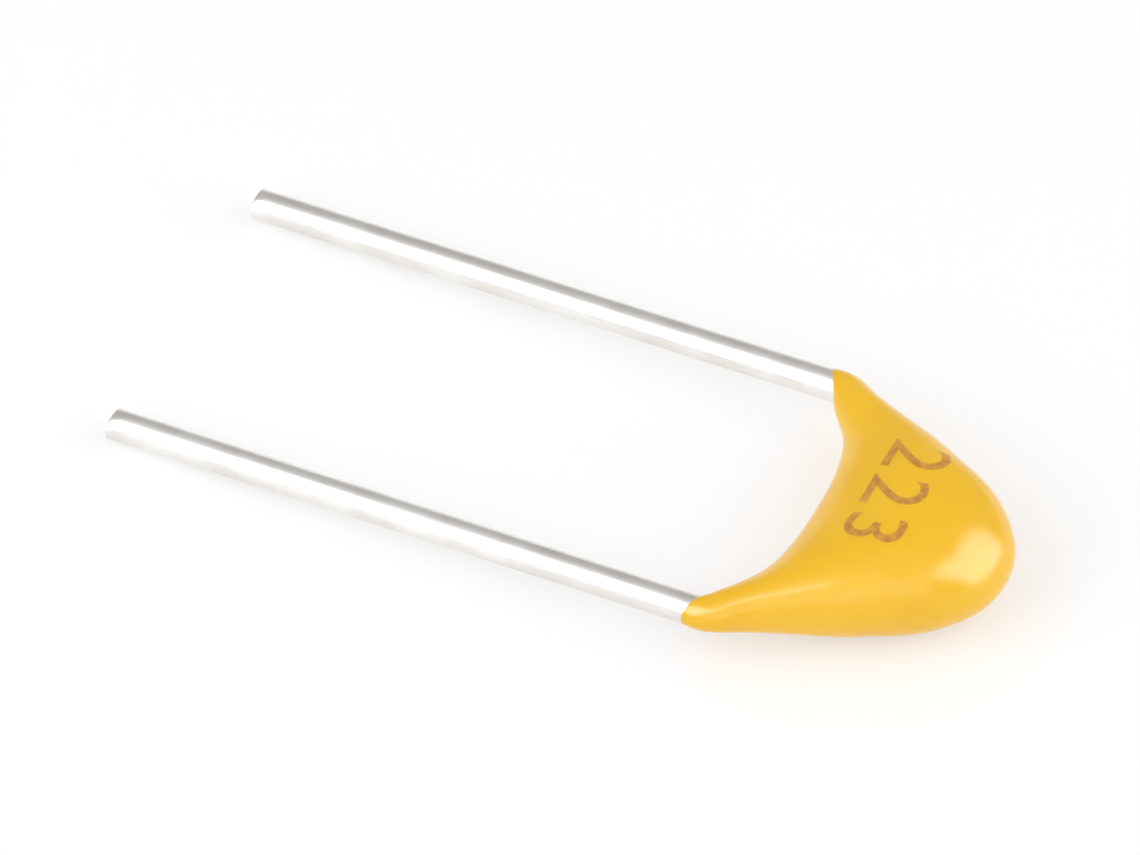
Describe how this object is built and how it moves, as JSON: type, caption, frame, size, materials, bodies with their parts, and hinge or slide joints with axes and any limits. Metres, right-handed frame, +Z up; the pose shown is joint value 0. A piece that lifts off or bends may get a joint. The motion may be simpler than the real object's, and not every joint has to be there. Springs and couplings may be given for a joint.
{
  "type": "multilayer ceramic capacitor",
  "caption": "Radial-lead ceramic capacitor: a glossy amber epoxy drop with horns that run onto straight tinned leads, dipped over a soldered multilayer chip.",
  "frame": {"origin": "on the surface that the part lies on, under the middle of its overall box", "axes": "+Y from the lead ends towards the dome, +Z up through the marked face, +X across the leads"},
  "size_m": [0.0056, 0.0142, 0.0018],
  "materials": {
    "epoxy": "glossy dipped epoxy, amber yellow",
    "tinned_wire": "bright tin over steel-cored copper wire",
    "ceramic": "fired barium titanate ceramic, tan and matt",
    "end_cap_metal": "fired silver with a tin skin, satin",
    "solder": "tin solder, smooth and slightly dull",
    "electrode_metal": "fired nickel layer, matt"
  },
  "bodies": {
    "root": {"epoxy_coat": "epoxy", "left_lead": "tinned_wire", "right_lead": "tinned_wire", "ceramic_body": "ceramic", "left_termination": "end_cap_metal", "right_termination": "end_cap_metal", "left_solder": "solder", "right_solder": "solder", "left_electrode_1": "electrode_metal", "right_electrode_1": "electrode_metal", "left_electrode_2": "electrode_metal", "right_electrode_2": "electrode_metal", "left_electrode_3": "electrode_metal", "right_electrode_3": "electrode_metal", "left_electrode_4": "electrode_metal", "right_electrode_4": "electrode_metal", "left_electrode_5": "electrode_metal", "right_electrode_5": "electrode_metal", "left_electrode_6": "electrode_metal", "right_electrode_6": "electrode_metal", "left_electrode_7": "electrode_metal", "right_electrode_7": "electrode_metal", "left_electrode_8": "electrode_metal", "right_electrode_8": "electrode_metal"}
  },
  "joints": []
}
